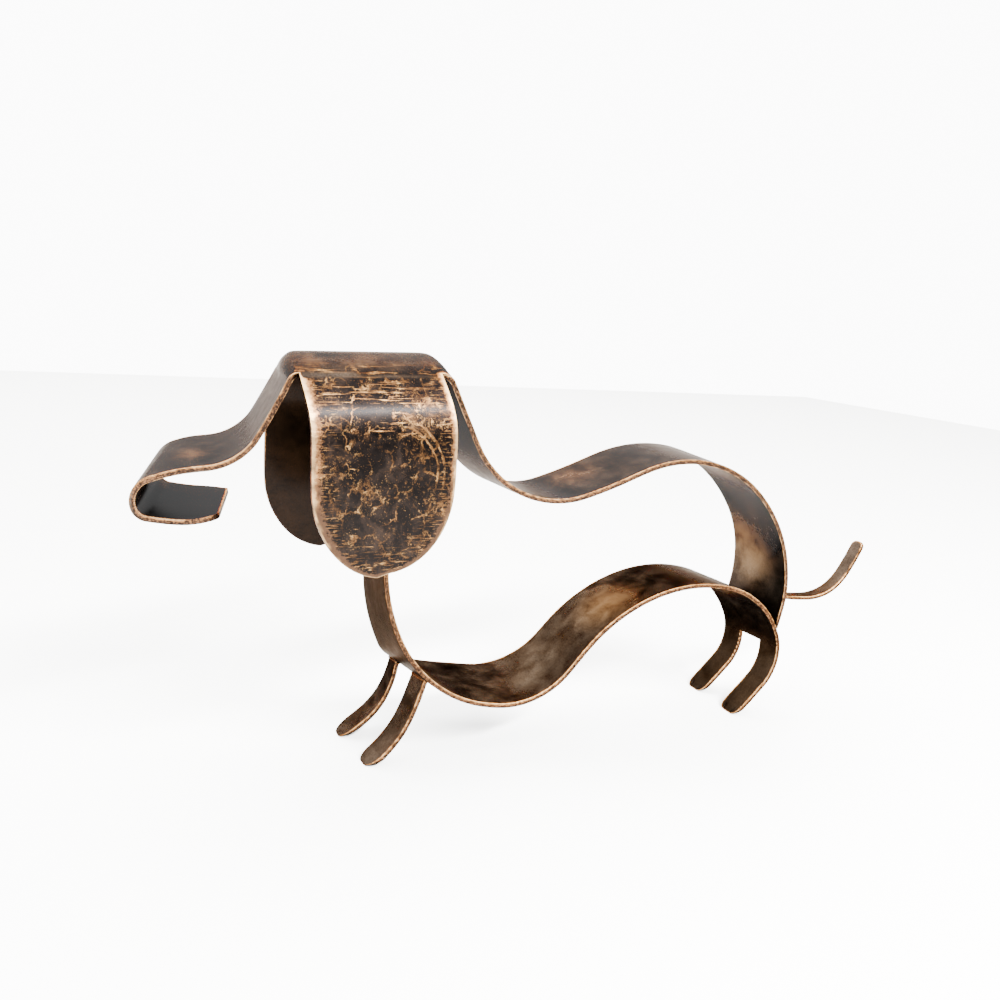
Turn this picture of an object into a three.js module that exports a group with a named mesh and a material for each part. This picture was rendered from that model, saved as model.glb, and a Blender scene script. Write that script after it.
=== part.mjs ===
import * as THREE from 'three';

// Scrap metal dog: two long flat strips, two front legs and a tail, bent and welded.
// Millimetres, +Z up. The nose looks along -X, the dog's left side is -Y, the feet stand on Z = 0.

// ---- Driving dimensions ----
const SHEET = 2.0;            // thickness of every strip
const WIDTH = 40;             // width of the two long strips
const GAP = 0.3;              // clearance where two pieces are welded
const LEG_WIDTH = 12.4;       // width of one leg
const ARCH_RADIUS = 31;       // the ears hang from a saddle of this radius
const TIP_RADIUS = 4.5;       // rounded corners of the chin and toes
const EAR_DROP = [96.6, 103]; // crown of the saddle to the tip of the left and the right ear
const EAR_ROUND = 33;         // length of the rounded end of an ear
const EAR_WIDTH = 54.6;       // width of a hanging ear
const EAR_TILT = 87;          // slope of a hanging ear, degrees
const EAR_SETTLE = 24;        // an ear reaches its own width this far below the saddle
const EAR_MIDDLE = [-2.6, -8.4]; // X of the middle of the left and the right ear
const ACROSS = 8;             // facets across a strip

// A bend list reads from the strip's first end: length along the left edge, length along the
// right edge, turn in degrees, facets if not one per few degrees (left edge = -Y). The sheet was
// bent by hand, a little out of square.
const HEAD_BENDS = [
  [23.6, 22.5, -19.6], [5.5, 5.6, -54.6], [12.5, 15.5, -91.1], [18.4, 11.4, -18.4],
  [22.4, 22.6, 55.7], [16.4, 16.5, 6.6], [6.8, 1.5, 0], [4.4, 4.8, -63.0],
  [54.2, 50.5, 0, 8], [5.9, 5.9, -67.7], [26.9, 28.9, 3.9], [31.6, 30.8, 42.2],
  [27.9, 23.4, 35.8], [27.4, 29.0, 8.5], [34.0, 40.9, -31.8], [34.1, 32.7, -31.8],
  [24.6, 24.8, -19.2], [29.0, 24.0, -25.2], [18.0, 22.5, -20.0],
];
const HEAD_START = { left: [-60.3, 106.1], right: [-51.0, 109.9], heading: 186.1 };
const SADDLE_FROM = 7;        // the saddle rises over bend 7,
const SADDLE_FULL = 8;        // is full over bend 8,
const SADDLE_TO = 10;         // and is gone at the end of bend 9

const BELLY_BENDS = [
  [66.5, 81.3, 0], [36.0, 38.5, 26.2], [36.6, 8.0, 35.1], [16.5, 15.1, 17.1],
  [6.6, 24.0, 5.0], [37.1, 41.9, 58.6], [8.6, 0.5, 0.1], [44.6, 45.8, -33.8],
  [41.1, 40.6, -32.2], [20.5, 19.2, -23.3], [21.8, 23.2, -28.1], [6.3, 5.7, -15.1],
  [20.9, 19.0, -50.3], [17.5, 17.6, -6.0],
];
const BELLY_START = { left: [3.9, 155.8], right: [7.2, 156.9], heading: -91.0 };
const SLOT_BEND = 12;         // from this bend on the belly strip is split into two legs

const LEFT_LEG_BENDS = [[15.4, 15.4, -9.6], [17.6, 17.6, -22.7], [6.0, 6.0, -6.0]];
const LEFT_LEG_START = { left: [21.1, 32.6], right: [20.1, 32.7], heading: -105.6 };
const RIGHT_LEG_BENDS = [[15.0, 14.7, -19.6], [14.6, 15.1, -26.0], [9.0, 9.4, -2.0]];
const RIGHT_LEG_START = { left: [18.4, 32.0], right: [19.7, 32.7], heading: -97.2 };

const TAIL_WIDTH = 7.5;
const TAIL_BENDS = [[28, 28, 14], [10, 10, 16], [9, 9, 22], [10, 10, 20], [18, 18, 10]];
const TAIL_START = { left: [207.9, 55.4], right: [207.9, 55.4], heading: -15 };

const BROWNED_STEEL = { color: 0x5b4a3c, roughness: 0.42, metalness: 0.9 };

// ---- Bending ----
const rad = (degrees) => degrees * Math.PI / 180;

// Walk one edge of a strip through its bends. Returns a row of stations {x, z, a}.
function walk([x, z], heading, bends, column, stepsFor) {
  const row = [{ x, z, a: rad(heading) }];
  for (const [index, bend] of bends.entries()) {
    const length = bend[column];
    const turn = rad(bend[2]);
    const from = row[row.length - 1];
    const steps = stepsFor(index);
    for (let i = 1; i <= steps; i += 1) {
      const u = length * i / steps;
      const a = from.a + turn * i / steps;
      const k = turn / length;
      const straight = Math.abs(turn) < 1e-9;
      row.push({
        x: from.x + (straight ? u * Math.cos(a) : (Math.sin(a) - Math.sin(from.a)) / k),
        z: from.z + (straight ? u * Math.sin(a) : (Math.cos(from.a) - Math.cos(a)) / k),
        a,
        bend: index,
        part: i / steps,
      });
    }
  }
  row[0].bend = 0;
  row[0].part = 0;
  return row;
}

// Both edges together: station i has a left point, a right point and one heading.
function stations(start, bends, degreesPerFacet = 7) {
  const stepsFor = (i) => bends[i][3] || Math.max(1, Math.ceil(Math.abs(bends[i][2]) / degreesPerFacet));
  const left = walk(start.left, start.heading, bends, 0, stepsFor);
  const right = walk(start.right, start.heading, bends, 1, stepsFor);
  return left.map((l, i) => ({ l, r: right[i], a: l.a, bend: l.bend, part: l.part }));
}

// A point of the sheet: v across (-1 left .. +1 right), h off the middle of the sheet.
function sheetPoint(s, v, h, halfWidth, arch = 0) {
  const t = (v + 1) / 2;
  let y = v * halfWidth;
  let rise = 0;
  let tilt = 0;
  if (arch > 0) {
    tilt = v * halfWidth / ARCH_RADIUS * arch;
    y = ARCH_RADIUS / arch * Math.sin(tilt);
    rise = ARCH_RADIUS / arch * (Math.cos(tilt) - Math.cos(halfWidth / ARCH_RADIUS * arch));
  }
  const up = rise + h * Math.cos(tilt);
  return [
    s.l.x + (s.r.x - s.l.x) * t - Math.sin(s.a) * up,
    y + h * Math.sin(tilt),
    s.l.z + (s.r.z - s.l.z) * t + Math.cos(s.a) * up,
  ];
}

// Closed shell from a grid of cells. point(i, j, side) places a corner, solid(i, j) says
// whether cell (i, j) is metal; walls close every edge that has no neighbour.
function shell(rows, columns, point, solid) {
  const index = new Map();
  const positions = [];
  const faces = [];
  const corner = (i, j, side) => {
    const key = `${i},${j},${side}`;
    if (!index.has(key)) {
      index.set(key, positions.length / 3);
      positions.push(...point(i, j, side));
    }
    return index.get(key);
  };
  const quad = (a, b, c, d) => faces.push(a, b, c, a, c, d);
  for (let i = 0; i < rows; i += 1) {
    for (let j = 0; j < columns; j += 1) {
      if (!solid(i, j)) continue;
      quad(corner(i, j, 1), corner(i + 1, j, 1), corner(i + 1, j + 1, 1), corner(i, j + 1, 1));
      quad(corner(i, j, 0), corner(i, j + 1, 0), corner(i + 1, j + 1, 0), corner(i + 1, j, 0));
      if (!solid(i, j - 1)) {
        quad(corner(i, j, 0), corner(i + 1, j, 0), corner(i + 1, j, 1), corner(i, j, 1));
      }
      if (!solid(i, j + 1)) {
        quad(corner(i + 1, j + 1, 0), corner(i, j + 1, 0), corner(i, j + 1, 1), corner(i + 1, j + 1, 1));
      }
      if (!solid(i - 1, j)) {
        quad(corner(i, j + 1, 0), corner(i, j, 0), corner(i, j, 1), corner(i, j + 1, 1));
      }
      if (!solid(i + 1, j)) {
        quad(corner(i + 1, j, 0), corner(i + 1, j + 1, 0), corner(i + 1, j + 1, 1), corner(i + 1, j, 1));
      }
    }
  }
  return { positions, faces };
}

function mesh(name, { positions, faces }) {
  const geometry = new THREE.BufferGeometry();
  geometry.setAttribute('position', new THREE.Float32BufferAttribute(positions, 3));
  geometry.setIndex(faces);
  geometry.computeVertexNormals();
  const made = new THREE.Mesh(geometry, new THREE.MeshStandardMaterial(BROWNED_STEEL));
  made.name = name;
  return made;
}

// ---- Where one piece meets another ----
// Slide a face corner along its strip until it reaches the outline of another piece.
function slideTo(p, angle, outline) {
  const dx = Math.cos(angle);
  const dz = Math.sin(angle);
  let best = null;
  for (let i = 0; i + 1 < outline.length; i += 1) {
    const [ax, az] = outline[i];
    const ex = outline[i + 1][0] - ax;
    const ez = outline[i + 1][1] - az;
    const cross = dx * ez - dz * ex;
    if (!(Math.abs(cross) > 1e-9)) continue;
    const t = ((ax - p[0]) * ez - (az - p[2]) * ex) / cross;
    const w = ((ax - p[0]) * dz - (az - p[2]) * dx) / cross;
    if (w >= 0 && w <= 1 && (best === null || Math.abs(t) < Math.abs(best))) best = t;
  }
  if (best === null) throw new Error('a strip end misses the piece it is welded to');
  return [p[0] + dx * best, p[1], p[2] + dz * best];
}

// Outline at depth y of a long strip's face, h off the middle of the sheet.
const faceOutline = (list, y, h) => list.map((s) => {
  const [x, , z] = sheetPoint(s, y / (WIDTH / 2), h, WIDTH / 2);
  return [x, z];
});
const ground = [[-500, 0], [500, 0]];

// The outline a neighbour has to stop at: a long strip's face, plus the clearance. side > 0 is
// the face on the left of travel, side < 0 the one on the right, and 0 is whichever is nearer.
function faceOutlines(list, gap, side = 0) {
  return (y) => {
    const left = faceOutline(list, y, half + gap);
    const right = faceOutline(list, y, -half - gap);
    return side > 0 ? left : side < 0 ? right : [...left, [NaN, NaN], ...right];
  };
}

// ---- Long strips ----
const head = stations(HEAD_START, HEAD_BENDS);
const belly = stations(BELLY_START, BELLY_BENDS);
const HALF = WIDTH / 2;
const half = SHEET / 2;
const across = (j) => -1 + 2 * j / ACROSS;

// Rounded corners of the chin: how much narrower the strip is, each side, at station i
function chinCorner(i) {
  let run = 0;
  for (let k = 1; k <= i; k += 1) {
    run += Math.hypot(head[k].l.x - head[k - 1].l.x, head[k].l.z - head[k - 1].l.z);
  }
  return run >= TIP_RADIUS ? 0 : TIP_RADIUS - Math.sqrt(TIP_RADIUS ** 2 - (TIP_RADIUS - run) ** 2);
}

// 0 .. 1: how much of the saddle's curve the head strip has at a station
function archAt(s) {
  if (s.bend < SADDLE_FROM || s.bend >= SADDLE_TO) return 0;
  if (s.bend === SADDLE_FULL) return 1;
  return s.bend < SADDLE_FULL ? s.part : 1 - s.part;
}

// ---- Head and back strip, with the two ears ----
const EAR_ROWS = EAR_DROP.map(earRows);
const lift = ARCH_RADIUS * (1 - Math.cos(HALF / ARCH_RADIUS));
const smooth = (t) => {
  const c = Math.min(1, Math.max(0, t));
  return c * c * (3 - 2 * c);
};

// Developed distances from the crown at which an ear has a row, and its width there (0 .. 1)
function earRows(drop) {
  const rows = [];
  const bendEnd = ARCH_RADIUS * rad(EAR_TILT);
  for (let i = 1; i <= 5; i += 1) rows.push({ u: HALF + (bendEnd - HALF) * i / 5, width: 1 });
  rows.push({ u: drop - EAR_ROUND, width: 1 });
  for (const angle of [14, 28, 42, 54, 64, 73, 80, 85]) {
    rows.push({ u: drop - EAR_ROUND * (1 - Math.sin(rad(angle))), width: Math.cos(rad(angle)) });
  }
  return rows;
}

// A point of an ear: f runs front to back along the saddle, side is -1 left, +1 right
function earPoint(edge, f, row, side, h) {
  const bend = Math.min(row.u / ARCH_RADIUS, rad(EAR_TILT));
  const hang = row.u - bend * ARCH_RADIUS;
  const y = ARCH_RADIUS * Math.sin(bend) + hang * Math.cos(bend) + h * Math.sin(bend);
  const drop = ARCH_RADIUS * (1 - Math.cos(bend)) + hang * Math.sin(bend);
  const own = EAR_MIDDLE[side < 0 ? 0 : 1] + (f - 0.5) * EAR_WIDTH * row.width;
  const blend = smooth((row.u - HALF) / EAR_SETTLE);
  return [edge.x + (own - edge.x) * blend, side * y, edge.z + lift - drop + h * Math.cos(bend)];
}

function headStrip() {
  const ears = EAR_ROWS[0].length;
  const from = head.findIndex((s) => s.bend === SADDLE_FULL) - 1;
  const to = head.findLastIndex((s) => s.bend === SADDLE_FULL);
  const tip = faceOutlines(belly, GAP, 1);
  const point = (i, j, side) => {
    const h = side ? half : -half;
    const s = head[i];
    if (j < ears || j > ears + ACROSS) {
      const sign = j < ears ? -1 : 1;
      const row = sign < 0 ? EAR_ROWS[0][ears - 1 - j] : EAR_ROWS[1][j - ears - ACROSS - 1];
      return earPoint(sign < 0 ? s.l : s.r, (i - from) / (to - from), row, sign, h);
    }
    const v = across(j - ears);
    const width = HALF - chinCorner(i);
    const p = sheetPoint(s, v * width / HALF, h, HALF, archAt(s));
    return i === head.length - 1 ? slideTo(p, s.a, tip(p[1])) : p;
  };
  const solid = (i, j) => i >= 0 && i < head.length - 1 && j >= 0 && j < 2 * ears + ACROSS
    && ((j >= ears && j < ears + ACROSS) || (i >= from && i < to));
  return shell(head.length - 1, 2 * ears + ACROSS, point, solid);
}

// ---- Belly strip: chest, belly, hump and the two hind legs ----
const BELLY_ACROSS = [-1, -0.7, -0.38, 0, 0.38, 0.7, 1];

function bellyStrip() {
  const inner = ARCH_RADIUS - half - GAP;
  const rise = (y) => Math.sqrt(inner * inner - y * y) - Math.sqrt(inner * inner - HALF * HALF);
  const split = belly.findIndex((s) => s.bend === SLOT_BEND) - 1;
  const point = (i, j, side) => {
    const p = sheetPoint(belly[i], BELLY_ACROSS[j], side ? half : -half, HALF);
    if (i === 0) p[2] += rise(p[1]);
    return i === belly.length - 1 ? slideTo(p, belly[i].a, ground) : p;
  };
  const solid = (i, j) => i >= 0 && i < belly.length - 1 && j >= 0 && j < 6
    && (i < split || j < 2 || j > 3);
  return shell(belly.length - 1, 6, point, solid);
}

// ---- Front legs and tail ----
function bar(list, y0, y1, top, bottom) {
  const point = (i, j, side) => {
    const s = list[i];
    const v = j;
    const h = side ? half : -half;
    const p = [
      s.l.x + (s.r.x - s.l.x) * v - Math.sin(s.a) * h,
      y0 + (y1 - y0) * v,
      s.l.z + (s.r.z - s.l.z) * v + Math.cos(s.a) * h,
    ];
    if (i === 0) return slideTo(p, s.a, top(p[1]));
    return i === list.length - 1 && bottom ? slideTo(p, s.a, bottom) : p;
  };
  return shell(list.length - 1, 1, point, (i, j) => i >= 0 && i < list.length - 1 && j === 0);
}

function tailStrip() {
  const list = stations(TAIL_START, TAIL_BENDS);
  return bar(list, -TAIL_WIDTH / 2, TAIL_WIDTH / 2, faceOutlines(head, GAP, 1), null);
}

function frontLeg(start, bends, y0) {
  return bar(stations(start, bends), y0, y0 + LEG_WIDTH, faceOutlines(belly, GAP, -1), ground);
}

const part = new THREE.Group();
part.name = 'scrap_metal_dog';
part.add(mesh('head_and_back', headStrip()));
part.add(mesh('belly_strip', bellyStrip()));
part.add(mesh('front_left_leg', frontLeg(LEFT_LEG_START, LEFT_LEG_BENDS, -HALF)));
part.add(mesh('front_right_leg', frontLeg(RIGHT_LEG_START, RIGHT_LEG_BENDS, HALF - LEG_WIDTH)));
part.add(mesh('tail', tailStrip()));

// The frame's origin is the middle of the footprint, on the ground.
const middle = new THREE.Box3().setFromObject(part).getCenter(new THREE.Vector3());
for (const piece of part.children) piece.geometry.translate(-middle.x, -middle.y, 0);
export default part;
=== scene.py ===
# %% [markdown]
# # A dog bent from scrap strip metal
# The dog is five pieces of flat steel strip, bent by hand and welded. The frame below already
# holds those pieces at their real size. This lesson gives them what a maker's hands give them:
# rounded worn edges, smooth bends, weld beads and an old brown patina.

# %% Load the frame
import math

import bpy
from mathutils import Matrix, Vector, kdtree
from mathutils.bvhtree import BVHTree


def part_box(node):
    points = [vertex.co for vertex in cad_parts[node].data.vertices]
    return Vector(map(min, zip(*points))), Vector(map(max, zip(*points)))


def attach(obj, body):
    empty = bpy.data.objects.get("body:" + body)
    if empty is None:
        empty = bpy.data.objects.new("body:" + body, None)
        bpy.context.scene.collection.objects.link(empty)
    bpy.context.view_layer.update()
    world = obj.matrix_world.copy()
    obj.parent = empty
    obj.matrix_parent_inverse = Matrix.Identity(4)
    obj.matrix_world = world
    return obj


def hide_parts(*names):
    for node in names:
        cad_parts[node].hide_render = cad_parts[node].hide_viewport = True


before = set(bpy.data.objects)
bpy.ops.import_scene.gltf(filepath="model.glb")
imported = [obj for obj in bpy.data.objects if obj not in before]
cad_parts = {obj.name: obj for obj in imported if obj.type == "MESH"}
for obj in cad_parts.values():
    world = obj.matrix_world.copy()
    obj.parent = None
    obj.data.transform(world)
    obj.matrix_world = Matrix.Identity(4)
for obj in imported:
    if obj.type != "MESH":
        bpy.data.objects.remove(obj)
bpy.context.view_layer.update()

print("frame nodes:", sorted(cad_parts))

# %% [markdown]
# ## Sizes
# Blender works in metres, and a maker thinks in millimetres, so one factor turns one into the
# other. Every strip was cut from the same two-millimetre sheet, and a hand file has taken a little
# under half a millimetre off its rims.

# %% Sizes
MM = 0.001
SHEET = 2.0 * MM                    # thickness of every strip
RIM = 0.45 * MM                     # how far hand filing has rounded the rims
SHARP = math.radians(50)            # an edge that turns more than this is a rim
SMOOTHING = 2                       # subdivision levels of the finished strips and beads
print("sheet", SHEET / MM, "mm, filed rims", RIM / MM, "mm")

# %% [markdown]
# ## The head and back strip
# On the real dog one cross-shaped blank makes the chin, the muzzle, the head with its two ears,
# the back and the rump. It was sawn from flat stock, bent over a former and filed. The frame's
# copy is bent already, in flat facets, so the lesson starts from a duplicate of it. The duplicate
# comes as loose triangles. Merging its doubles and turning the triangles into four-sided faces
# gives edges that can be selected and bevelled.

# %% Copy the head and back strip
def only(piece):
    """Make one object the selected and active one, because an operator acts on all that is selected."""
    bpy.ops.object.select_all(action="DESELECT")
    piece.select_set(True)
    bpy.context.view_layer.objects.active = piece


def copy_node(node, name):
    """A copy of a frame node, merged and turned back from triangles to four-sided faces."""
    only(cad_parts[node])
    bpy.ops.object.duplicate()
    piece = bpy.context.object
    piece.name = name
    piece.data.name = name
    piece.parent = None
    bpy.ops.object.mode_set(mode="EDIT")
    bpy.ops.mesh.select_all(action="SELECT")
    bpy.ops.mesh.remove_doubles(threshold=0.005 * MM)
    bpy.ops.mesh.customdata_custom_splitnormals_clear()
    bpy.ops.mesh.tris_convert_to_quads(face_threshold=math.radians(35),
                                       shape_threshold=math.radians(60))
    bpy.ops.object.mode_set(mode="OBJECT")
    piece.data.materials.clear()
    print(name, "copied:", len(piece.data.polygons), "faces")
    return piece


head = copy_node("head_and_back", "head_and_back_strip")

# %% [markdown]
# The finish of old metal depends on how far a spot is from the nearest rim, because that is where
# hands, cloths and files reach. The rims are easy to find now, while they are still sharp, so
# points are laid along them and kept in a search tree. Once the rims are round they could no
# longer be told from the bends.

# %% Find the rims
RIM_SPACING = 0.6 * MM              # distance between the points laid along a rim


def rim_tree(piece):
    """A search tree of points all along the sharp rims of a strip."""
    only(piece)
    bpy.ops.object.mode_set(mode="EDIT")
    bpy.ops.mesh.select_mode(type="EDGE")
    bpy.ops.mesh.select_all(action="DESELECT")
    bpy.ops.mesh.edges_select_sharp(sharpness=SHARP)
    bpy.ops.object.mode_set(mode="OBJECT")
    places = []
    for edge in piece.data.edges:
        if edge.select:
            a, b = (piece.data.vertices[i].co for i in edge.vertices)
            steps = max(1, int((a - b).length / RIM_SPACING))
            places += [a.lerp(b, i / steps) for i in range(steps + 1)]
    tree = kdtree.KDTree(len(places))
    for i, place in enumerate(places):
        tree.insert(place, i)
    tree.balance()
    print(piece.name, "rim points:", len(places))
    return tree


head_rims = rim_tree(head)

# %% [markdown]
# A bevel does the file's work on the rims, and a subdivision surface turns the facets into one
# smooth bend, which is what makes long reflections run true. The bevel comes first, because its
# two close rows of faces hold the rim crisp while the rest is smoothed.

# %% File the rims and smooth the bends
def file_and_smooth(piece):
    """Round the rims with a bevel, then subdivide the facets into smooth bends."""
    only(piece)
    bevel = piece.modifiers.new("filed rims", "BEVEL")
    bevel.width = RIM
    bevel.segments = 2
    bevel.limit_method = "ANGLE"
    bevel.angle_limit = SHARP
    bpy.ops.object.modifier_apply(modifier=bevel.name)
    smooth = piece.modifiers.new("smooth bends", "SUBSURF")
    smooth.levels = SMOOTHING
    smooth.render_levels = SMOOTHING
    bpy.ops.object.modifier_apply(modifier=smooth.name)
    bpy.ops.object.shade_smooth()
    print(piece.name, "finished:", len(piece.data.polygons), "faces")


file_and_smooth(head)

# %% [markdown]
# ## What the finish needs to know
# Five numbers are stored at each point of a strip, and the materials read them back later:
#
# - rim_mm, the distance to the nearest rim
# - wall, whether the point is on the sawn edge of the sheet and not on one of its faces
# - top_light, how much a rim faces up, which paints light from above: rims that face up get a
#   longer and brighter copper wash, rims that face down a dark one
# - rub_and_highlight, how close it is to a place painted lighter and warmer: partly wear where
#   hands have rubbed it warm, partly painted highlight on tops that take the light
# - soot_and_shade, how close it is to a place painted darker: soot, and painted shade in folds,
#   under the ears and under the head

# %% Measure a strip
SKIN = 0.02 * MM                    # a ray starts this far under the surface, so as not to hit it
WALL_REACH = 0.6 * SHEET            # the sawn edge is nowhere further than this from a rim
WALL_DEPTH = 1.6 * SHEET            # metal deeper than this behind a point means a sawn edge
# The next two set the painted light from above that the copper wash on a rim takes.
TOP_LIGHT_EVEN = 0.35                  # polish of a rim that faces neither up nor down
TOP_LIGHT_FACING = 0.8                 # how much facing up adds to it


def new_measures(piece, names):
    """One number per point for each name. All are made before any is used, as a new one moves the rest."""
    for name in names:
        piece.data.attributes.new(name, "FLOAT", "POINT")
    return [piece.data.attributes[name] for name in names]


def closeness(distance, radius):
    """One at a spot's middle, falling to zero at its radius, which is in millimetres, and below past it."""
    return 1 - distance / (radius * MM)


def measure(piece, rims, rubs_and_highlights=(), soots_and_shade=()):
    """Store the five numbers. The places painted lighter, for wear and painted highlight, are (x, y, z) and a
    radius; those painted darker, for soot and painted shade, are (x, z) and a radius; all in millimetres.
    """
    rim, wall, top_light, rub_and_highlight, soot_and_shade = new_measures(piece, ("rim_mm", "wall", "top_light", "rub_and_highlight", "soot_and_shade"))
    own = BVHTree.FromPolygons([v.co for v in piece.data.vertices],
                               [p.vertices for p in piece.data.polygons])
    for i, vertex in enumerate(piece.data.vertices):
        place = vertex.co
        nearest, _, distance = rims.find(place)
        rim.data[i].value = distance / MM
        inward = -vertex.normal
        through = own.ray_cast(place + inward * SKIN, inward)[3]
        deep = through is None or through > WALL_DEPTH
        wall.data[i].value = float(distance < WALL_REACH and deep)
        # Painted light from above: the more a rim faces up, the longer and brighter its copper wash.
        above = (nearest.z - place.z) / (0.5 * SHEET) + vertex.normal.z * TOP_LIGHT_FACING
        top_light.data[i].value = max(0.0, min(1.0, TOP_LIGHT_EVEN + above))
        # Rubbed wear and painted highlight: how close the point is to a place painted lighter.
        rub_and_highlight.data[i].value = max([0.0] + [closeness((place - Vector(q) * MM).length, r) for q, r in rubs_and_highlights])
        # Soot and painted shade: how close the point is to a place painted darker.
        soot_and_shade.data[i].value = max([0.0] + [closeness(math.hypot(place.x - x * MM, place.z - z * MM), r)
                                          for (x, z), r in soots_and_shade])
    print(piece.name, "measured at", len(piece.data.vertices), "points")


# %% [markdown]
# The muzzle, head and back are painted lighter and warmer: partly wear where hands pick the dog up,
# partly painted highlight on their tops. The fold of the chin, the neck behind the ears and the foot
# of the rump are painted darker: soot, and painted shade where shade falls.

# %% Rubbed wear and painted highlight, soot and painted shade, of the head and back
# Painted lighter and warmer here: rubbed wear and painted highlight on the tops.
HEAD_RUBS_AND_HIGHLIGHTS = [
    ((-158, -4, 128), 12),                              # top of the muzzle
    ((-119, -8, 163), 15), ((-122, 14, 160), 12),       # the brow's two corners
    ((-71, -10, 163), 13), ((-71, 14, 162), 12),        # back corners of the head
    ((113, 4, 72), 26), ((113, 12, 84), 26),            # rump
    ((6, 8, 113), 22),                                  # dip of the back
    ((-95, 0, 166), 32),                                # crown of the head
    ((76, 0, 122), 26),                                 # top of the back
]
# Painted darker here: soot, and painted shade in the folds, behind the ears and at the foot of the rump.
HEAD_SOOT_AND_SHADE = [
    ((112, 42), 24),                                    # foot of the rump
    ((-172, 106), 12), ((-160, 106), 12), ((-148, 107), 12),    # fold of the chin
    ((-64, 150), 22),                                   # neck, behind the ears
]
measure(head, head_rims, HEAD_RUBS_AND_HIGHLIGHTS, HEAD_SOOT_AND_SHADE)

# %% [markdown]
# ## The ears
# The ears were finished apart from the rest, brushed with a dark wax outside. Their inside is
# painted almost black, which is painted shade. Two more measured values tell the finish where it
# is: how far a spot is down an ear, and whether it faces the inside of the head.

# %% Where the ears are
SADDLE_FRONT, SADDLE_BACK = -128 * MM, -60 * MM     # the ears lie between these along the dog
EAR_BOTTOM = 75 * MM                # the ears stay above this height, and the chest strip below it
PAST_STRIP = 20.6 * MM              # just past the long strip's own edge
SADDLE_TOP = 160 * MM               # above this the strip is the top of the head
WAX_FROM, WAX_BLEND = 13 * MM, 7 * MM       # the wax starts here and is full this much further out
BEND_BOTTOM = 135 * MM              # above this the ear is still bending over the head

ear, inside = new_measures(head, ("ear", "inside"))
for i, vertex in enumerate(head.data.vertices):
    x, y, z = vertex.co
    on_ear = (SADDLE_FRONT < x < SADDLE_BACK and z > EAR_BOTTOM
              and (abs(y) > PAST_STRIP or z > SADDLE_TOP))
    ear.data[i].value = max(0.0, min(1.0, (abs(y) - WAX_FROM) / WAX_BLEND)) if on_ear else 0.0
    # Faces on the inside of an ear get the near-black painted shade.
    facing = vertex.normal.y * y + (vertex.normal.z * abs(y) if z > BEND_BOTTOM else 0.0)
    inside.data[i].value = 1.0 if on_ear and facing < 0 else 0.0
print("points on the ears:", sum(1 for value in ear.data if value.value > 0))

# %% [markdown]
# ## Belly and hind legs
# The belly strip hangs from under the head and ends as the hind legs. A slot was sawn up its
# middle, and the two feet that it left had their corners ground off. The short edges that run
# through the sheet at those corners are selected by place and bevelled, before the rims are filed.

# %% Round the feet and the slot
TOE_REACH, TOE_RADIUS = 3.8 * MM, 3.6 * MM      # how near a corner must be, and how round it gets
SLOT_ROUND = 1.6 * MM               # a round file leaves this in the slot's corners
CORNER_SEGMENTS = 5


def pick_edges(piece, wanted):
    """Select the edges for which wanted(a, b) is true, stay in edit mode and say how many there are."""
    only(piece)
    bpy.ops.object.mode_set(mode="EDIT")
    bpy.ops.mesh.select_mode(type="EDGE")
    bpy.ops.mesh.select_all(action="DESELECT")
    bpy.ops.object.mode_set(mode="OBJECT")
    points = piece.data.vertices
    chosen = 0
    for edge in piece.data.edges:
        a, b = (points[i].co for i in edge.vertices)
        edge.select = wanted(a, b)
        chosen += edge.select
    bpy.ops.object.mode_set(mode="EDIT")
    return chosen


def round_corners(piece, places, reach, radius):
    """Round the sheet's outline near each place, by its short sharp edges through the sheet."""
    def through_sheet(a, b):
        near = any((a - q).length < reach and (b - q).length < reach for q in places)
        flat = abs(a.y - b.y) < 0.1 * MM or abs(a.y - b.y) > 1.5 * MM
        return near and flat and 0.9 * SHEET < (a - b).length < 2.4 * SHEET
    chosen = pick_edges(piece, through_sheet)
    if chosen:
        bpy.ops.mesh.bevel(offset=radius, segments=CORNER_SEGMENTS, affect="EDGES", clamp_overlap=False)
    bpy.ops.object.mode_set(mode="OBJECT")
    print(piece.name, "corners rounded:", chosen)


def ground_points(piece):
    """The corners of a piece that stand on the ground."""
    low = min(v.co.z for v in piece.data.vertices)
    return [v.co.copy() for v in piece.data.vertices if v.co.z < low + 0.1 * MM]


def slot_corners(piece):
    """The two corners at the top of the slot: the highest short edges through the sheet on its sides."""
    highest = {}
    for edge in piece.data.edges:
        a, b = (piece.data.vertices[i].co for i in edge.vertices)
        middle = (a + b) / 2
        through = abs(a.y - b.y) < 0.05 * MM and 0.9 * SHEET < (a - b).length < 1.2 * SHEET
        if through and middle.x > 95 * MM and 6 * MM < abs(middle.y) < 9 * MM:
            side = middle.y > 0
            if side not in highest or middle.z > highest[side].z:
                highest[side] = middle
    return list(highest.values())


belly = copy_node("belly_strip", "belly_and_hind_legs")
round_corners(belly, slot_corners(belly), SLOT_ROUND, SLOT_ROUND)
round_corners(belly, ground_points(belly), TOE_REACH, TOE_RADIUS)

# %% [markdown]
# From here each strip goes through the same three steps as the head did, so they become one
# function. The belly is painted lighter and warmer in the middle of its hump and at the chest:
# partly rubbed wear, partly painted highlight. Its feet and hocks are darkened with soot and painted
# shade, and the end that is hidden under the head with painted shade.

# %% Finish the belly strip
def finish_strip(piece, rubs_and_highlights=(), soots_and_shade=()):
    """Find the rims, file and smooth them, and measure what the finish needs at each point."""
    rims = rim_tree(piece)
    file_and_smooth(piece)
    measure(piece, rims, rubs_and_highlights, soots_and_shade)


# Painted lighter and warmer: rubbed wear and painted highlight on the hump and the chest.
BELLY_RUBS_AND_HIGHLIGHTS = [((26, -4, 56), 25), ((-84, -6, 90), 14)]                  # hump and chest
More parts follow.
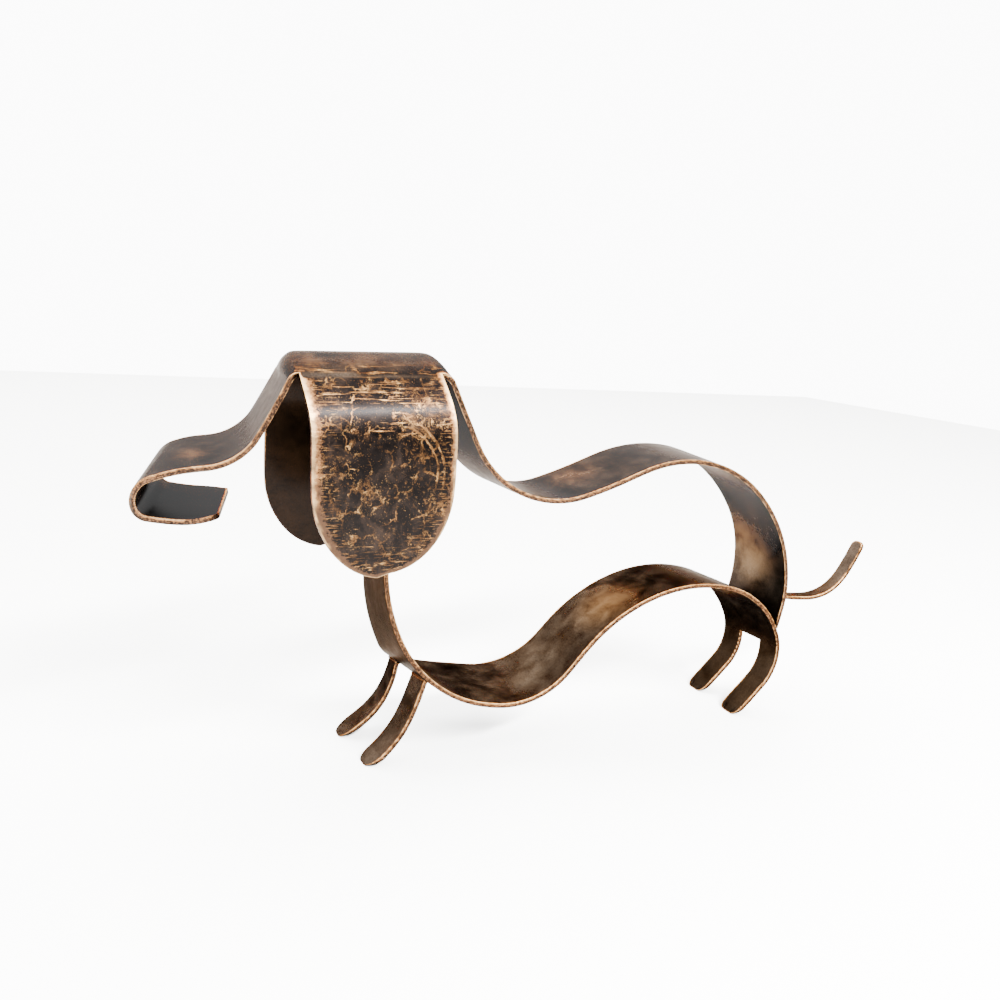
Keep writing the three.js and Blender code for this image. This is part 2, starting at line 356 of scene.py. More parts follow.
# Painted darker: soot and painted shade on the feet and hocks, painted shade on the end under the head.
BELLY_SOOT_AND_SHADE = [((104, 8), 34), ((114, 28), 26), ((-85, 150), 60)]       # feet, hocks, hidden end
finish_strip(belly, BELLY_RUBS_AND_HIGHLIGHTS, BELLY_SOOT_AND_SHADE)

# %% [markdown]
# ## Front legs and tail
# These are narrow offcuts. Their toes and the tail's tip were ground round, so again the short
# edges through the sheet are bevelled first. Before that, the four top corners of each leg are
# noted, because the weld beads will run from the one side of the leg to the other there.

# %% Legs and tail
LEG_TOE_REACH, LEG_TOE_RADIUS = 3.9 * MM, 4.4 * MM
TAIL_TIP_REACH, TAIL_TIP_RADIUS = 2.4 * MM, 3.2 * MM
TAIL_TIP_LENGTH = 2.5 * MM          # the tip's corners lie within this of the tail's end


def top_seams(leg):
    """The front and rear top corners of a leg's left side, and those of its right side."""
    top = sorted((v.co.copy() for v in leg.data.vertices), key=lambda c: -c.z)[:4]
    outer = sorted(top, key=lambda c: c.y)
    return [(min(pair, key=lambda c: c.x), max(pair, key=lambda c: c.x)) for pair in (outer[:2], outer[2:])]


left_leg = copy_node("front_left_leg", "left_front_leg_bar")
right_leg = copy_node("front_right_leg", "right_front_leg_bar")
tail = copy_node("tail", "tail_bar")
seams = {"left": top_seams(left_leg), "right": top_seams(right_leg)}
for leg in (left_leg, right_leg):
    round_corners(leg, ground_points(leg), LEG_TOE_REACH, LEG_TOE_RADIUS)
tip = max(v.co.x for v in tail.data.vertices)
tip_corners = [v.co.copy() for v in tail.data.vertices if v.co.x > tip - TAIL_TIP_LENGTH]
round_corners(tail, tip_corners, TAIL_TIP_REACH, TAIL_TIP_RADIUS)
for bar in (left_leg, right_leg, tail):
    finish_strip(bar)

# %% [markdown]
# ## Weld beads
# A weld is a row of frozen ripples. One round bar is cut into rings, every second ring is drawn
# in, and a subdivision surface melts them together. The bar is made upright at the origin, where
# its rings are easy to pick by height, and then it is turned and laid in the corner of its joint.

# %% A weld bead
RIPPLE = 0.75 * MM                  # distance from one ring of a bead to the next
WAIST = 0.72                        # width of the drawn-in rings beside the full ones


def weld_bead(name, start, end, radius):
    """A rippled bead from start to end."""
    along = end - start
    length = along.length
    rings = max(5, int(length / RIPPLE))
    step = length / (rings + 1)
    bpy.ops.object.select_all(action="DESELECT")
    bpy.ops.mesh.primitive_cylinder_add(vertices=10, radius=radius, depth=length)
    bead = bpy.context.object
    bead.name = name
    bead.data.name = name
    pick_edges(bead, lambda a, b: abs(a.z - b.z) > 0.5 * length)
    bpy.ops.mesh.subdivide(number_cuts=rings)
    bpy.ops.object.mode_set(mode="OBJECT")
    pick_edges(bead, lambda a, b: abs(a.z - b.z) < 0.01 * MM and round((a.z + length / 2) / step) % 2 == 0)
    bpy.ops.transform.resize(value=(WAIST, WAIST, 1.0))
    bpy.ops.object.mode_set(mode="OBJECT")
    smooth = bead.modifiers.new("melted", "SUBSURF")
    smooth.levels = SMOOTHING
    smooth.render_levels = SMOOTHING
    only(bead)
    bpy.ops.object.modifier_apply(modifier=smooth.name)
    bpy.ops.object.shade_smooth()
    bead.rotation_euler = along.to_track_quat("Z", "Y").to_euler()
    bead.location = (start + end) / 2
    bpy.ops.object.transform_apply(location=True, rotation=True, scale=True)
    print(name, len(bead.data.polygons), "faces")
    return bead


# %% [markdown]
# Each front leg has a bead before and behind it, the tail has one above and one below, and one
# long bead closes the seam between the rump and the top of the hind legs. The legs' beads stop a
# little short of the corners, as a welder lets go before the edge burns away.

# %% Lay the beads
LEG_BEAD, TAIL_BEAD, RUMP_BEAD = 0.75 * MM, 0.7 * MM, 0.85 * MM     # radii
SHORT_OF_CORNER = 0.07              # share of a leg's width that is left bare at each corner
TAIL_BARE = 0.4 * MM                # what is left bare at each edge of the tail
TAIL_SEAMS = (("tail_weld_under", 115.6 * MM, 54.9 * MM), ("tail_weld_over", 115.9 * MM, 57.0 * MM))
RUMP_SEAM = (Vector((112.2, -18.5, 43.6)) * MM, Vector((111.9, 18.5, 42.2)) * MM)

beads = []
for side, ((front_a, rear_a), (front_b, rear_b)) in seams.items():
    for face, a, b in (("front", front_a, front_b), ("rear", rear_a, rear_b)):
        bare = (b - a) * SHORT_OF_CORNER
        beads.append(weld_bead(side + "_leg_weld_" + face, a + bare, b - bare, LEG_BEAD))
low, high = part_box("tail")
for name, x, z in TAIL_SEAMS:
    start = Vector((x, low[1] + TAIL_BARE, z))
    end = Vector((x, high[1] - TAIL_BARE, z))
    beads.append(weld_bead(name, start, end, TAIL_BEAD))
beads.append(weld_bead("rump_weld", *RUMP_SEAM, RUMP_BEAD))
print("weld beads:", len(beads))

# %% [markdown]
# ## Shader helpers
# One function turns the hex colours that a painter would pick into the linear values that the
# shader needs. One adds a node with its settings and its links, and one fills a colour ramp. A
# pattern's scale is the number of its blobs in a metre, so it is worked out from the blob's width.

# %% Shader helpers
MULTIPLY = {"operation": "MULTIPLY"}
SMOOTHSTEP = {"interpolation_type": "SMOOTHSTEP"}
COLOUR = {"data_type": "RGBA"}
COLOUR_MULTIPLY = {"data_type": "RGBA", "blend_type": "MULTIPLY"}


def linear(hex_colour):
    """An sRGB hex colour as linear RGBA."""
    channels = [int(hex_colour[i:i + 2], 16) / 255 for i in (1, 3, 5)]
    return [c / 12.92 if c <= 0.04045 else ((c + 0.055) / 1.055) ** 2.4 for c in channels] + [1.0]


def per_metre(width_mm):
    """The scale of a pattern whose blobs are this many millimetres wide."""
    return 1 / (width_mm * MM)


def add(tree, kind, settings=None, **links):
    """Add a node. Each link names an input, or i and its number, and gives a socket or a value."""
    node = tree.nodes.new("ShaderNode" + kind)
    for key, value in (settings or {}).items():
        setattr(node, key, value)
    for key, value in links.items():
        by_number = key[0] == "i" and key[1:].isdigit()
        socket = node.inputs[int(key[1:]) if by_number else key.replace("_", " ")]
        if isinstance(value, bpy.types.NodeSocket):
            tree.links.new(value, socket)
        else:
            socket.default_value = value
    return node


def ramp(node, stops):
    """Give a colour ramp its stops."""
    elements = node.color_ramp.elements
    while len(elements) < len(stops):
        elements.new(0.5)
    for element, (position, colour) in zip(elements, stops):
        element.position = position
        element.color = linear(colour)
    return node


print("a mid grey is", round(linear("#808080")[0], 3), "and an 8 mm pattern has scale", per_metre(8))

# %% [markdown]
# ## Browned steel
# Mild steel is heated and oiled until it turns brown, then rubbed back with a cloth. The browning
# is cloudy at the size of a thumb, smoky at the size of a finger nail, and speckled under that.
# Three layers of noise, from coarse to fine, are multiplied together for it.

# %% The browning
CLOUD, SMOKE, SPECK = 38.46, 9.09, 0.6667       # widths in millimetres


def browning(tree, place, smoke, speck, tones):
    """Three brown tones in clouds, with smoke and specks over them."""
    light, middle, dark = tones
    cloud = add(tree, "TexNoise", None, Vector=place, Scale=per_metre(CLOUD), Detail=4.0, Roughness=0.55)
    clouds = ramp(add(tree, "ValToRGB", None, Fac=cloud.outputs["Fac"]),
                  [(0.34, dark), (0.5, middle), (0.66, light)])
    shade = ramp(add(tree, "ValToRGB", None, Fac=smoke), [(0.32, "#9a9490"), (0.66, "#ffffff")])
    grain = ramp(add(tree, "ValToRGB", None, Fac=speck), [(0.34, "#a8a29c"), (0.62, "#ffffff")])
    smoky = add(tree, "Mix", COLOUR_MULTIPLY, i0=0.75,
                i6=clouds.outputs["Color"], i7=shade.outputs["Color"])
    grainy = add(tree, "Mix", COLOUR_MULTIPLY, i0=0.7, i6=smoky.outputs[2], i7=grain.outputs["Color"])
    return grainy.outputs[2]


print("clouds", CLOUD, "mm, smoke", SMOKE, "mm, specks", SPECK, "mm")

# %% [markdown]
# The colour is warmed and lightened at the rubbed places, which is wear and painted highlight, and
# darkened where soot and painted shade were laid. Both are driven by the numbers that were
# measured on the strips.

# %% Rubbed wear and painted highlight, soot and painted shade
# The first colour is the warm, lighter one of wear and painted highlight; the second darkens for soot and
# painted shade.
RUB_AND_HIGHLIGHT, SOOT_AND_SHADE = "#5c4a37", "#85796d"


def rubbed_sooty_highlit_and_shaded(tree, body, smoke):
    """The body colour, warmer and lighter where it was rubbed and painted with highlight, darker with soot
    and painted shade.
    """
    rub_and_highlight, soot_and_shade = (add(tree, "Attribute", {"attribute_name": name}).outputs["Fac"] for name in ("rub_and_highlight", "soot_and_shade"))
    broken = add(tree, "Math", MULTIPLY, i0=rub_and_highlight, i1=smoke)
    # The lighter, warmer mix: rubbed wear and painted highlight.
    rubbed = add(tree, "MapRange", SMOOTHSTEP, Value=broken.outputs["Value"],
                 From_Min=0.05, From_Max=0.6, To_Min=0.0, To_Max=0.55)
    warm = add(tree, "Mix", COLOUR, i0=rubbed.outputs["Result"], i6=body, i7=linear(RUB_AND_HIGHLIGHT))
    # The darker mix: soot and painted shade.
    sooted_and_shaded = add(tree, "MapRange", SMOOTHSTEP, Value=soot_and_shade, From_Max=0.55, To_Max=0.9)
    sooty_and_shaded = add(tree, "Mix", COLOUR_MULTIPLY, i0=sooted_and_shaded.outputs["Result"],
                i6=warm.outputs[2], i7=linear(SOOT_AND_SHADE))
    return sooty_and_shaded.outputs[2]


print("rubbed", RUB_AND_HIGHLIGHT, "and soot", SOOT_AND_SHADE)

# %% [markdown]
# The rims, which the file and the cloth reach, show a copper wash. It is brightest on the rim
# itself, and its inner border is ragged, so a fine noise pushes the border in and out. Rims that
# face up get a longer, brighter wash and rims that face down a dark one: that is painted light
# from above. The sawn edge of the sheet between two rims stays dark and grainy.

# %% Copper rims, with painted light from above
TORN = 1.3333                       # width in millimetres of the nicks in the wash's border
COPPER = [(0.2, "#b8966a"), (0.55, "#7a5330"), (1.0, "#3a2412")]
SAWN = [(0.36, "#120b07"), (0.52, "#291b12"), (0.66, "#5a3e2a")]
# Painted shade: the colour of the wash on rims that face down.
SHADED_RIM = "#35251a"


def copper_rims_with_top_light(tree, place, rim, top_light, face_colour, speck, width):
    """The sawn edges, and a copper wash that reaches width millimetres in from each rim, with painted light:
    brighter on rims that face up, darker on rims that face down.
    """
    wall = add(tree, "Attribute", {"attribute_name": "wall"}).outputs["Fac"]
    sawn = ramp(add(tree, "ValToRGB", None, Fac=speck), SAWN)
    sides = add(tree, "Mix", COLOUR, i0=wall, i6=face_colour, i7=sawn.outputs["Color"])
    ragged = add(tree, "TexNoise", None, Vector=place, Scale=per_metre(TORN), Detail=4.0, Roughness=0.7)
    torn = add(tree, "MapRange", None, Value=ragged.outputs["Fac"],
               From_Min=0.3, From_Max=0.7, To_Min=0.5, To_Max=1.5)
    reach = add(tree, "Math", MULTIPLY, i0=width, i1=torn.outputs["Result"])
    share = add(tree, "Math", {"operation": "DIVIDE"}, i0=rim, i1=reach.outputs["Value"])
    worn = add(tree, "MapRange", SMOOTHSTEP, Value=share.outputs["Value"],
               From_Min=0.75, From_Max=1.1, To_Min=1.0, To_Max=0.0)
    copper = ramp(add(tree, "ValToRGB", None, Fac=share.outputs["Value"]), COPPER)
    # Painted light from above: rims that face up get the copper, rims that face down the darker colour.
    wash = add(tree, "Mix", COLOUR, i0=top_light, i6=linear(SHADED_RIM), i7=copper.outputs["Color"])
    colour = add(tree, "Mix", COLOUR, i0=worn.outputs["Result"], i6=sides.outputs[2], i7=wash.outputs[2])
    return colour.outputs[2]


print("copper wash", [colour for _, colour in COPPER])

# %% [markdown]
# ## Waxed ears
# The ears were hammered and wiped with black wax. The wax stays in the hollows and is rubbed off
# the high spots, so the copper wash shows through it in six kinds of mark. Each kind is a mask
# from zero to one. The first is a crackle of fine lines, which a second noise breaks up so that
# no line runs on for long, and the next is a smear where the rag lifted the wax, in clumps.

# %% Crackle and smears
BENT, BROKEN, CELL = 3.846, 6.667, 8.0          # widths in millimetres
CLUMP, FRAY = 14.286, 2.0833
WANDER = 5.5 * MM                   # how far the lines wander from straight


def crackle(tree, shifted, broken):
    """Short cracks between cells."""
    cells = add(tree, "TexVoronoi", {"feature": "DISTANCE_TO_EDGE"}, Vector=shifted, Scale=per_metre(CELL))
    cracks = add(tree, "MapRange", None, Value=cells.outputs["Distance"],
                 From_Min=0.012, From_Max=0.05, To_Min=1.0, To_Max=0.0)
    left_over = add(tree, "MapRange", None, Value=broken, From_Min=0.48, From_Max=0.62)
    return add(tree, "Math", MULTIPLY, i0=cracks.outputs["Result"],
               i1=left_over.outputs["Result"]).outputs["Value"]


def smears(tree, place, shifted):
    """Frayed patches where the rag lifted the wax, in clumps."""
    rag = add(tree, "TexNoise", None, Vector=place, Scale=per_metre(CLUMP), Detail=2.0)
    clumps = add(tree, "MapRange", None, Value=rag.outputs["Fac"],
                 From_Min=0.4, From_Max=0.65, To_Min=0.66, To_Max=0.5)
    fray = add(tree, "TexNoise", None, Vector=shifted, Scale=per_metre(FRAY), Detail=6.0, Roughness=0.8)
    over = add(tree, "Math", {"operation": "SUBTRACT"}, i0=fray.outputs["Fac"], i1=clumps.outputs["Result"])
    return add(tree, "MapRange", None, Value=over.outputs["Value"],
               From_Max=0.07, To_Max=0.8).outputs["Result"]


print("crackle cells", CELL, "mm, clumps", CLUMP, "mm, frayed", FRAY, "mm")

# %% [markdown]
# The other marks come from tools. Scores run along the bend where the ear was drawn over a former,
# thickest near the top. File strokes run in from the border. Both are a noise that is squeezed in
# height and stretched in length. Grinder arcs lie round one centre, in the upper rear quarter
# only, and pin-prick specks lie everywhere.

# %% Scores, file strokes and specks
SCORE = (14.286, 3.333, 0.6667)     # length, depth and height of a score, in millimetres
STROKE = (4.545, 3.333, 0.5)        # and of a file stroke
PRICK = 0.5263                      # width of a pin prick
STROKES_FROM, STROKES_TO = 3.0, 11.0            # strokes fade out over this distance from the rim


def scores(tree, place, z):
    """Scores along the bend, thickest near the top."""
    along = add(tree, "VectorMath", MULTIPLY, i0=place, i1=[per_metre(size) for size in SCORE])
    lines = add(tree, "TexNoise", None, Vector=along.outputs["Vector"], Scale=1.0, Detail=2.0)
    high = add(tree, "MapRange", SMOOTHSTEP, Value=z,
               From_Min=134 * MM, From_Max=156 * MM, To_Min=0.72, To_Max=0.585)
    over = add(tree, "Math", {"operation": "SUBTRACT"}, i0=lines.outputs["Fac"], i1=high.outputs["Result"])
    return add(tree, "MapRange", None, Value=over.outputs["Value"], From_Max=0.035).outputs["Result"]


def file_strokes(tree, place, rim):
    """Short scratches in from the border, where the ear was filed."""
    across = add(tree, "VectorMath", MULTIPLY, i0=place, i1=[per_metre(size) for size in STROKE])
    filed = add(tree, "TexNoise", None, Vector=across.outputs["Vector"], Scale=1.0, Detail=3.0, Roughness=0.6)
    strokes = add(tree, "MapRange", None, Value=filed.outputs["Fac"], From_Min=0.56, From_Max=0.63)
    near_rim = add(tree, "MapRange", None, Value=rim,
                   From_Min=STROKES_FROM, From_Max=STROKES_TO, To_Min=1.0, To_Max=0.0)
    return add(tree, "Math", MULTIPLY, i0=strokes.outputs["Result"],
               i1=near_rim.outputs["Result"]).outputs["Value"]


def specks(tree, place):
    """Pin-prick speckle."""
    dots = add(tree, "TexNoise", None, Vector=place, Scale=per_metre(PRICK), Detail=2.0)
    return add(tree, "MapRange", None, Value=dots.outputs["Fac"],
               From_Min=0.64, From_Max=0.72, To_Max=0.5).outputs["Result"]


print("scores", SCORE, "mm, file strokes", STROKE, "mm, pricks", PRICK, "mm")

# %% Grinder arcs
ARC_CENTRE = (-91 * MM, 125 * MM)   # the disc's middle, along and up
ARC_WOBBLE = 2.5 * MM
ARC_LINE = 1.4286                   # distance in millimetres from one arc to the next


def grinder_arcs(tree, x, z, bent, broken):
    """Arcs that a grinding disc left, near the back corner of the ear."""
    centre = add(tree, "CombineXYZ", None, X=ARC_CENTRE[0], Z=ARC_CENTRE[1])
    flat = add(tree, "CombineXYZ", None, X=x, Z=z)
    radius = add(tree, "VectorMath", {"operation": "DISTANCE"},
                 i0=flat.outputs["Vector"], i1=centre.outputs["Vector"])
    ring_at = add(tree, "Math", {"operation": "MULTIPLY_ADD"}, i0=bent, i1=ARC_WOBBLE,
                  i2=radius.outputs["Value"])
    rings = add(tree, "TexNoise", {"noise_dimensions": "1D"}, W=ring_at.outputs["Value"],
                Scale=per_metre(ARC_LINE), Detail=2.0)
    ring_lines = add(tree, "MapRange", None, Value=rings.outputs["Fac"], From_Min=0.56, From_Max=0.66)
    from_centre = radius.outputs["Value"]
    limits = (
        # inside the disc's rim, outside its hub, in the ear's rear half, in its upper half, and with skips
        add(tree, "MapRange", None, Value=from_centre, From_Min=24 * MM, From_Max=21 * MM),
        add(tree, "MapRange", None, Value=from_centre, From_Min=13 * MM, From_Max=16 * MM),
        add(tree, "MapRange", None, Value=x, From_Min=-88 * MM, From_Max=-83 * MM),
        add(tree, "MapRange", None, Value=z, From_Min=118 * MM, From_Max=124 * MM),
        add(tree, "MapRange", None, Value=broken, From_Min=0.42, From_Max=0.5, To_Min=0.15),
    )
    arcs = ring_lines.outputs["Result"]
    for limit in limits:
        arcs = add(tree, "Math", MULTIPLY, i0=arcs, i1=limit.outputs["Result"]).outputs["Value"]
    return arcs


print("arcs round", [round(c / MM) for c in ARC_CENTRE], "mm,", ARC_LINE, "mm apart")

# %% [markdown]
# The strongest of the six marks wins at each point. It picks between black wax and rubbed metal,
# and it lifts the surface a little. Inside the ear there is only the near-black lining, which is
# painted shade. The wash reaches further in from the ear's border than from other rims: furthest at
# the front, and least at the bottom.

# %% Wax on the ears
WAX = [(0.32, "#060505"), (0.52, "#0d0a09"), (0.68, "#1e1713")]
RUBBED_WAX = [(0.36, "#2c1c0f"), (0.52, "#52381f"), (0.68, "#86663f")]
# Painted shade: near black for the faces inside the ear.
SHADED_LINING = [(0.3, "#080402"), (0.7, "#140b05")]
BORDER_FRONT, BORDER_BACK = 3.6, 2.4            # reach of the wash in millimetres
BORDER_BOTTOM = 0.55                # share of it that is left at the bottom of the ear


def wax_marks(tree, place, rim, bent, x, z):
    """One where the wax is off the metal, zero where it is thick."""
    shift = add(tree, "VectorMath", {"operation": "MULTIPLY_ADD"}, i0=bent.outputs["Color"],
                i1=(WANDER, WANDER, WANDER), i2=place)
    shifted = shift.outputs["Vector"]
    broken = add(tree, "TexNoise", None, Vector=place, Scale=per_metre(BROKEN),
                 Detail=5.0, Roughness=0.7).outputs["Fac"]
    marks = crackle(tree, shifted, broken)
    for mark in (scores(tree, place, z), grinder_arcs(tree, x, z, bent.outputs["Fac"], broken),
                 specks(tree, place), smears(tree, place, shifted), file_strokes(tree, place, rim)):
        marks = add(tree, "Math", {"operation": "MAXIMUM"}, i0=marks, i1=mark).outputs["Value"]
    return marks


def border_width(tree, x, z, ear_at, inner, plain_width):
    """How far in the copper wash reaches, with the ear's broad border on its outside."""
    fore = add(tree, "MapRange", None, Value=x, From_Min=-115 * MM, From_Max=-90 * MM,
               To_Min=BORDER_FRONT, To_Max=BORDER_BACK)
    low = add(tree, "MapRange", None, Value=z, From_Min=88 * MM, From_Max=104 * MM,
              To_Min=BORDER_BOTTOM, To_Max=1.0)
    border = add(tree, "Math", MULTIPLY, i0=fore.outputs["Result"], i1=low.outputs["Result"])
    outside = add(tree, "Math", {"operation": "SUBTRACT", "use_clamp": True}, i0=ear_at, i1=inner)
    on_ear = add(tree, "Math", MULTIPLY, i0=border.outputs["Value"], i1=outside.outputs["Value"])
    return add(tree, "Math", {"operation": "MAXIMUM"}, i0=plain_width,
               i1=on_ear.outputs["Value"]).outputs["Value"]


def wax_on_ears(tree, place, rim, smoke, plain_colour, plain_width):
    """The colour, the border's width and the relief of the head strip, with black wax on its ears."""
    ear_at, inner = (add(tree, "Attribute", {"attribute_name": name}).outputs["Fac"]
                     for name in ("ear", "inside"))
    axes = add(tree, "SeparateXYZ", None, Vector=place)
    x, z = axes.outputs["X"], axes.outputs["Z"]
    bent = add(tree, "TexNoise", None, Vector=place, Scale=per_metre(BENT), Detail=4.0, Roughness=0.7)
    marks = wax_marks(tree, place, rim, bent, x, z)
    wax = ramp(add(tree, "ValToRGB", None, Fac=smoke), WAX)
    rubbed = ramp(add(tree, "ValToRGB", None, Fac=bent.outputs["Fac"]), RUBBED_WAX)
    # The inside of the ear is painted shade.
    shaded_lining = ramp(add(tree, "ValToRGB", None, Fac=smoke), SHADED_LINING)
    outer = add(tree, "Mix", COLOUR, i0=marks, i6=wax.outputs["Color"], i7=rubbed.outputs["Color"])
    ear_colour = add(tree, "Mix", COLOUR, i0=inner, i6=outer.outputs[2], i7=shaded_lining.outputs["Color"])
    colour = add(tree, "Mix", COLOUR, i0=ear_at, i6=plain_colour, i7=ear_colour.outputs[2])
    relief = add(tree, "Math", MULTIPLY, i0=marks, i1=ear_at)
    hammered = add(tree, "Math", {"operation": "MULTIPLY_ADD"}, i0=relief.outputs["Value"], i1=0.6, i2=smoke)
    width = border_width(tree, x, z, ear_at, inner, plain_width)
    return colour.outputs[2], width, hammered.outputs["Value"]


print("border", BORDER_FRONT, "mm at the front and", BORDER_BACK, "mm at the back of an ear")

# %% [markdown]
# ## The whole finish
# The layers come together in one metal. Browned steel is fully metallic. A tint of its grazing
# reflections keeps the edges of a bend from flashing white, as a brown oxide film does, and its
# roughness wanders with the smoke. The head alone has the thinnest coat of clear wax.

# %% Browned steel
GRAZING_TINT = "#826f5c"
RELIEF_DEPTH = 0.2 * MM             # height of the crust of the browning
CRUST, GRAIN = 0.4, 0.35            # shares of the smoke and of the specks in that relief
# The wash reaches further on rims that face up: painted light from above.
PLAIN_RIM, TOP_LIT_RIM = 0.22, 0.85            # reach of the wash on a plain rim, in millimetres


def browned_steel(name, tones, gloss=0.36, coat=0.0, waxed_ears=False):
    """Hot-browned mild steel: oiled, rubbed back at the rims to a copper wash, with painted light, highlight
    and shade mixed into its colour.
    """
    material = bpy.data.materials.new(name)
    material.use_nodes = True
    tree = material.node_tree
    tree.nodes.clear()
    place = add(tree, "TexCoord").outputs["Object"]
    rim, top_light = (add(tree, "Attribute", {"attribute_name": name}).outputs["Fac"]
                   for name in ("rim_mm", "top_light"))
    smoke = add(tree, "TexNoise", None, Vector=place, Scale=per_metre(SMOKE),
                Detail=6.0, Roughness=0.65, Distortion=0.5).outputs["Fac"]
    speck = add(tree, "TexNoise", None, Vector=place, Scale=per_metre(SPECK),
                Detail=2.0, Roughness=0.6).outputs["Fac"]
    face_colour = rubbed_sooty_highlit_and_shaded(tree, browning(tree, place, smoke, speck, tones), smoke)
    crust = add(tree, "Math", MULTIPLY, i0=smoke, i1=CRUST).outputs["Value"]
    # Painted light from above widens the wash on rims that face up.
    width = add(tree, "MapRange", None, Value=top_light, To_Min=PLAIN_RIM, To_Max=TOP_LIT_RIM).outputs["Result"]
    if waxed_ears:
        face_colour, width, crust = wax_on_ears(tree, place, rim, smoke, face_colour, width)
    colour = copper_rims_with_top_light(tree, place, rim, top_light, face_colour, speck, width)
    rough = add(tree, "MapRange", None, Value=smoke, From_Min=0.3, From_Max=0.7,
                To_Min=gloss - 0.06, To_Max=gloss + 0.12)
    relief = add(tree, "Math", {"operation": "MULTIPLY_ADD"}, i0=speck, i1=GRAIN, i2=crust)
    bump = add(tree, "Bump", None, Strength=0.35, Distance=RELIEF_DEPTH, Height=relief.outputs["Value"])
    shader = add(tree, "BsdfPrincipled", None, Base_Color=colour, Metallic=1.0,
                 Roughness=rough.outputs["Result"], Normal=bump.outputs["Normal"],
                 Specular_Tint=linear(GRAZING_TINT), Coat_Weight=coat, Coat_Roughness=0.2)
    add(tree, "OutputMaterial", None, Surface=shader.outputs["BSDF"])
    print(name, "has", len(tree.nodes), "nodes")
    return material


# %% [markdown]
# Each strip browned a little differently in the fire, so each gets its own three tones, light,
# middle and dark. The beads got hotter than the strips, so they are redder and a little rougher.

# %% Give each strip its finish
HEAD_TONES = ("#4b443e", "#3b342e", "#28211c")
BELLY_TONES = ("#473f37", "#352f29", "#231e1a")
LEG_TONES = ("#3a332d", "#2c2722", "#1d1916")
TAIL_TONES = ("#453b33", "#362e27", "#251e19")
WELD_TONES = ("#5a4232", "#3c2c20", "#281c14")

head.data.materials.append(
    browned_steel("browned_steel_head_and_back", HEAD_TONES, coat=0.04, waxed_ears=True))
belly.data.materials.append(browned_steel("browned_steel_belly", BELLY_TONES))
for leg in (left_leg, right_leg):
    leg.data.materials.append(browned_steel("browned_steel_" + leg.name, LEG_TONES))
tail.data.materials.append(browned_steel("browned_steel_tail", TAIL_TONES))
weld_steel = browned_steel("browned_weld_steel", WELD_TONES, gloss=0.42)
for bead in beads:
    bead.data.materials.append(weld_steel)

# %% [markdown]
# ## Putting the pieces on the frame
# Every piece rides the frame's one body, because the dog is welded up and nothing moves. The five
# strips stand in for the frame's own nodes. The beads stand in for none, as a weld is no part of
# its own.

# %% Ride and replace
strips = (
    (head, "head_and_back", "head_strip"),
    (belly, "belly_strip", "belly_strip"),
    (left_leg, "front_left_leg", "front_legs"),
    (right_leg, "front_right_leg", "front_legs"),
    (tail, "tail", "tail"),
)
for piece, node, slot in strips:
    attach(piece, "root")
    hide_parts(node)
for bead in beads:
    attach(bead, "root")
print("pieces on the frame:", len(strips) + len(beads))

# %% [markdown]
# ## Floor
# The dog stands on a sheet of matt white paper. Paper has no gloss to speak of, so the floor only
# takes a soft shadow under the feet and throws pale light back up at the belly.

# %% Floor
BENCH = 3.2                         # the floor is just over three metres across

bpy.ops.mesh.primitive_plane_add(size=BENCH)
floor = bpy.context.object
floor.name = "pale_floor"
paper = bpy.data.materials.new("matt_white_paper")
paper.use_nodes = True
matt = paper.node_tree.nodes["Principled BSDF"]
matt.inputs["Base Color"].default_value = linear("#f4f4f2")
matt.inputs["Roughness"].default_value = 0.9
floor.data.materials.append(paper)
print(floor.name, BENCH, "m across")

# %% [markdown]
# ## Light
# Bare metal shows what is around it more than it shows itself. A bright backdrop behind the dog
# gives the strips their pale grazing reflections, and a dimmer room in front keeps the near faces
# dark, so the world's strength rises smoothly from the front of the room to the back.

# %% The room
ROOM_FRONT, BACKDROP = 1.4, 11.5    # strength of the world in front of and behind the dog

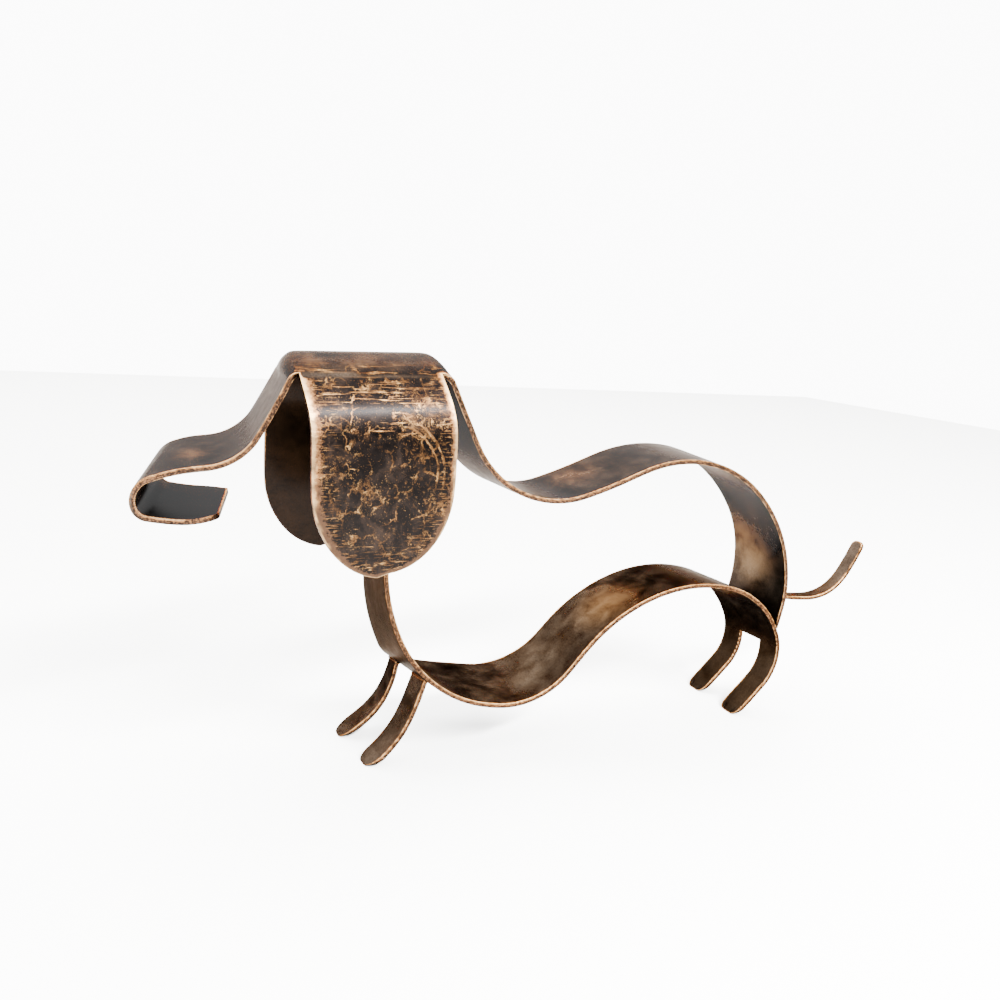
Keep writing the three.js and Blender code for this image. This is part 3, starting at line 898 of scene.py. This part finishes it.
world = bpy.data.worlds.new("studio")
bpy.context.scene.world = world
world.use_nodes = True
sky = world.node_tree
toward = add(sky, "SeparateXYZ", None, Vector=add(sky, "TexCoord").outputs["Generated"])
glow = add(sky, "MapRange", SMOOTHSTEP, Value=toward.outputs["Y"],
           From_Min=-0.4, From_Max=0.55, To_Min=ROOM_FRONT, To_Max=BACKDROP)
sky.links.new(glow.outputs["Result"], sky.nodes["Background"].inputs["Strength"])
sky.nodes["Background"].inputs["Color"].default_value = linear("#ffffff")
print("world strength", ROOM_FRONT, "to", BACKDROP)

# %% [markdown]
# Two lamps finish the set. A wide softbox overhead lights the floor evenly and softens the shadow.
# A long thin one beside the camera is mirrored by the near ear as a single pale band across the
# bend, which is what shows that the metal is polished and curved.

# %% Softboxes
def softbox(name, place, aim, width, height, power):
    """A rectangular area light that looks at a point. Sizes are in metres, and power is in watts."""
    bpy.ops.object.light_add(type="AREA", location=place)
    lamp = bpy.context.object
    lamp.name = name
    lamp.data.shape = "RECTANGLE"
    lamp.data.size = width
    lamp.data.size_y = height
    lamp.data.energy = power
    lamp.rotation_euler = (Vector(aim) - Vector(place)).to_track_quat("-Z", "Y").to_euler()
    print(name, width, "by", height, "m,", power, "W")
    return lamp


softbox("overhead", (0.0, 0.5, 1.6), (0.0, 0.3, 0.0), 3.0, 2.6, 145.0)
softbox("strip_beside_camera", (0.2, -0.74, 0.78), (-0.092, -0.027, 0.147), 1.0, 0.1, 120.0)

# %% [markdown]
# ## Camera
# The camera stands in front of the dog's left shoulder, a little above its back, and looks down
# on it slightly. A short lens this close makes the head large beside the tail. It leans a few
# degrees, as a camera held by hand does.

# %% Camera
CAMERA_PLACE = (-0.18825, -0.34275, 0.18823)    # metres
CAMERA_TURN = (77.76, -4.106, -23.649)          # degrees about X, Y and Z
LENS, SENSOR = 32.4, 36.0                       # millimetres, as on the lens barrel

bpy.ops.object.camera_add(location=CAMERA_PLACE, rotation=[math.radians(a) for a in CAMERA_TURN])
camera = bpy.context.object
camera.data.lens = LENS
camera.data.sensor_width = SENSOR
camera.data.clip_start = 10 * MM
bpy.context.scene.camera = camera
print("camera with a", LENS, "mm lens at", CAMERA_PLACE)
